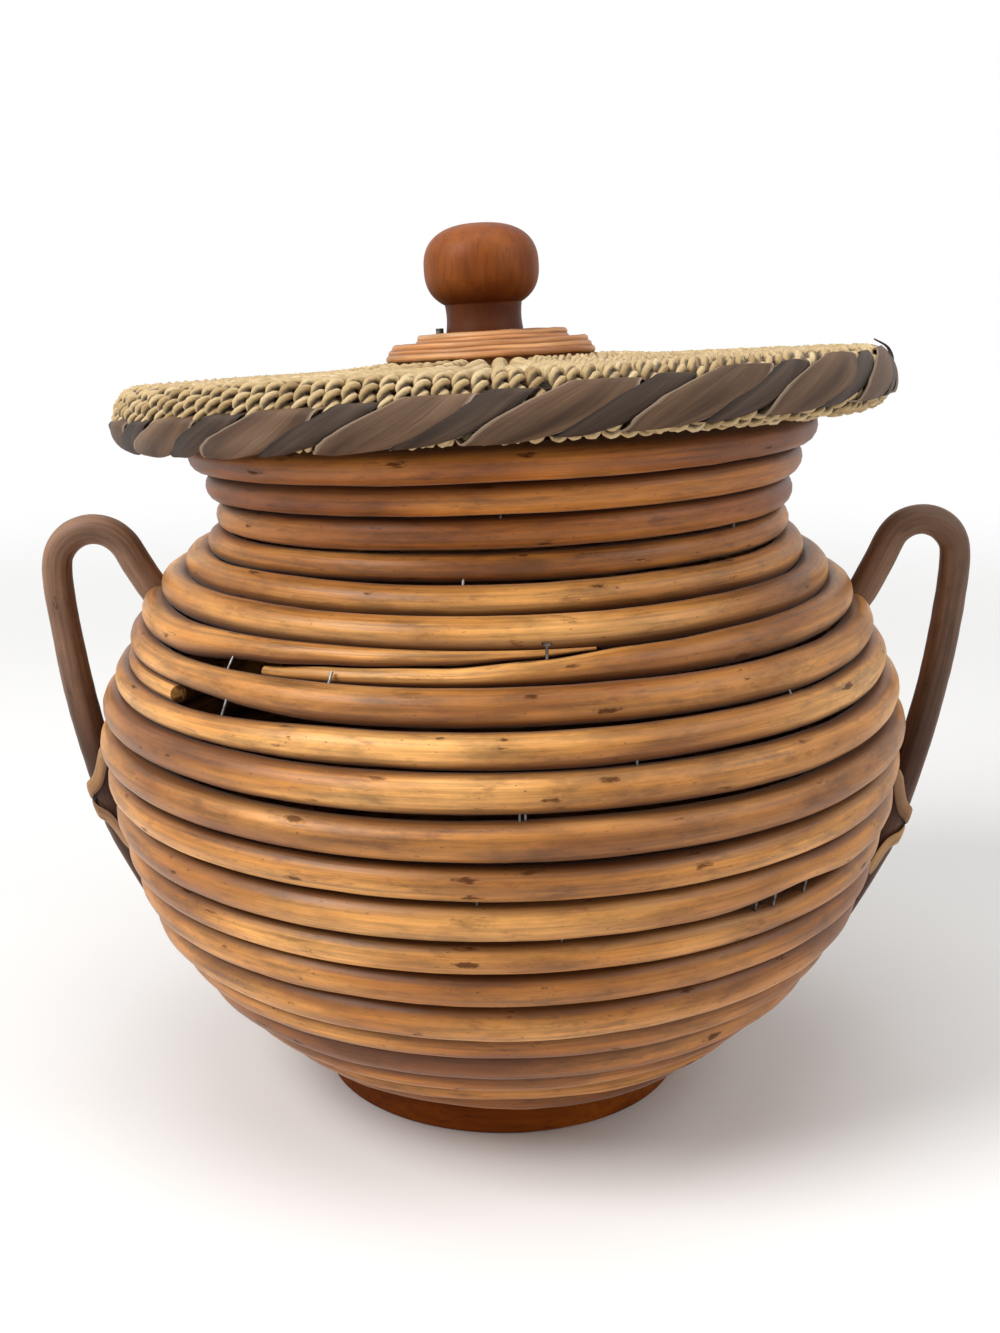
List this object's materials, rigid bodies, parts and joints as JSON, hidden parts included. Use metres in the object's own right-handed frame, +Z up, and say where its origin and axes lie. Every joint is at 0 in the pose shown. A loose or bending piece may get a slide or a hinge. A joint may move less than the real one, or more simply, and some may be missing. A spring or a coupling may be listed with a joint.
{
  "type": "lidded reed basket",
  "caption": "Round-bellied storage basket of stacked reed courses with lashed bent-rod handles and a seagrass lid, leaf-bound at the rim, that lifts off by a turned knob.",
  "frame": {"origin": "middle of the foot's underside, on the table", "axes": "+Z up, -Y towards the pictured front, +X to the right of that view, through the right handle"},
  "size_m": [0.2683, 0.2315, 0.2492],
  "materials": {
    "reed": "satin",
    "foot_wood": "satin",
    "knob_wood": "satin",
    "handle_rod": "satin",
    "seagrass": "matte",
    "leaf": "satin",
    "boss_reed": "satin",
    "steel": "satin",
    "board": "matte"
  },
  "bodies": {
    "basket": {"foot_disc": "foot_wood", "reed_course_01": "reed", "reed_course_02": "reed", "reed_course_03": "reed", "reed_course_04": "reed", "reed_course_05": "reed", "reed_course_06": "reed", "reed_course_07": "reed", "reed_course_08": "reed", "reed_course_09": "reed", "reed_course_10": "reed", "reed_course_11": "reed", "reed_course_12": "reed", "reed_course_13": "reed", "reed_course_14": "reed", "reed_course_15": "reed", "reed_course_16": "reed", "reed_course_17": "reed", "reed_course_18": "reed", "reed_course_19": "reed", "reed_course_20": "reed", "reed_course_21": "reed", "reed_course_22": "reed", "handle_left": "handle_rod", "handle_right": "handle_rod", "lashing_left_upper": "reed", "lashing_left_lower": "reed", "lashing_right_upper": "reed", "lashing_right_lower": "reed"},
    "lid": {"seagrass_under": "seagrass", "lid_board": "board", "seagrass_top": "seagrass", "rim_wrap": "seagrass", "leaf_binding": "leaf", "boss_lower": "boss_reed", "boss_upper": "boss_reed", "knob": "knob_wood", "knob_screw": "steel", "lid_seat_ring": "reed"}
  },
  "joints": [
    {"name": "lid_lift", "type": "slide", "parent": "basket", "child": "lid", "axis": [0, 0, 1], "range_m": [0, 0.12]}
  ]
}
